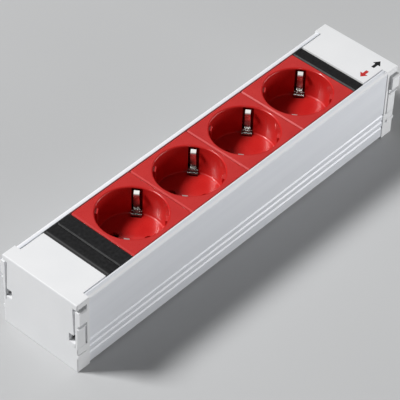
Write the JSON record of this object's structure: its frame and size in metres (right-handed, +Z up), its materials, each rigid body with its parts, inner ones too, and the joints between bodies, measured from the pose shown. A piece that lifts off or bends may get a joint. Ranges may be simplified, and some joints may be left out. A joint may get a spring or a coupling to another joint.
{
  "type": "rack power socket module",
  "caption": "Long aluminium plug-in module with red earthed round socket cups turned on the diagonal, black blanking strips and latched end caps, for a rack power rail.",
  "frame": {"origin": "centre of the bottom, in the plane of the two end caps' feet", "axes": "+X along the module towards the single blanking strip, -Y the front wall, +Z up out of the socket faces"},
  "size_m": [0.26, 0.0576, 0.05],
  "materials": {
    "aluminium": "satin anodised",
    "cap_plastic": "fine matt, light grey",
    "socket_red": "gloss signal red",
    "blank_black": "fine grained matt black",
    "inner_black": "matt black",
    "contact_nickel": "nickel plated",
    "contact_brass": "bare brass",
    "screw_steel": "zinc plated"
  },
  "bodies": {
    "housing": {"housing_profile": "aluminium", "end_cap_near": "cap_plastic", "end_cap_far": "cap_plastic", "socket_insert_1": "socket_red", "socket_insert_2": "socket_red", "socket_insert_3": "socket_red", "socket_insert_4": "socket_red", "contact_carrier_1": "inner_black", "contact_carrier_2": "inner_black", "contact_carrier_3": "inner_black", "contact_carrier_4": "inner_black", "earth_bracket_1": "contact_nickel", "earth_bracket_2": "contact_nickel", "earth_bracket_3": "contact_nickel", "earth_bracket_4": "contact_nickel", "live_contact_1": "contact_brass", "live_contact_2": "contact_brass", "live_contact_3": "contact_brass", "live_contact_4": "contact_brass", "neutral_contact_1": "contact_brass", "neutral_contact_2": "contact_brass", "neutral_contact_3": "contact_brass", "neutral_contact_4": "contact_brass", "busbar_live": "contact_brass", "inlet_blade_live": "contact_nickel", "busbar_earth": "contact_brass", "inlet_blade_earth": "contact_nickel", "busbar_neutral": "contact_brass", "inlet_blade_neutral": "contact_nickel", "blank_near_outer": "blank_black", "blank_near_inner": "blank_black", "blank_far": "blank_black", "inlet_housing": "inner_black", "cap_screws": "screw_steel", "inlet_screws": "screw_steel"},
    "latch_near_front": {"latch_near_front": "cap_plastic"},
    "latch_near_back": {"latch_near_back": "cap_plastic"},
    "latch_far_front": {"latch_far_front": "cap_plastic"},
    "latch_far_back": {"latch_far_back": "cap_plastic"}
  },
  "joints": [
    {"name": "latch_near_front_press", "type": "hinge", "parent": "housing", "child": "latch_near_front", "pos_m": [-0.127, -0.0262, 0.0175], "axis": [-1, 0, 0], "range_deg": [0, 2.5], "stiffness_Nm_per_rad": 0.01},
    {"name": "latch_near_back_press", "type": "hinge", "parent": "housing", "child": "latch_near_back", "pos_m": [-0.127, 0.0262, 0.0175], "axis": [1, 0, 0], "range_deg": [0, 2.5], "stiffness_Nm_per_rad": 0.01},
    {"name": "latch_far_front_press", "type": "hinge", "parent": "housing", "child": "latch_far_front", "pos_m": [0.127, -0.0262, 0.0175], "axis": [-1, 0, 0], "range_deg": [0, 2.5], "stiffness_Nm_per_rad": 0.01},
    {"name": "latch_far_back_press", "type": "hinge", "parent": "housing", "child": "latch_far_back", "pos_m": [0.127, 0.0262, 0.0175], "axis": [1, 0, 0], "range_deg": [0, 2.5], "stiffness_Nm_per_rad": 0.01}
  ]
}
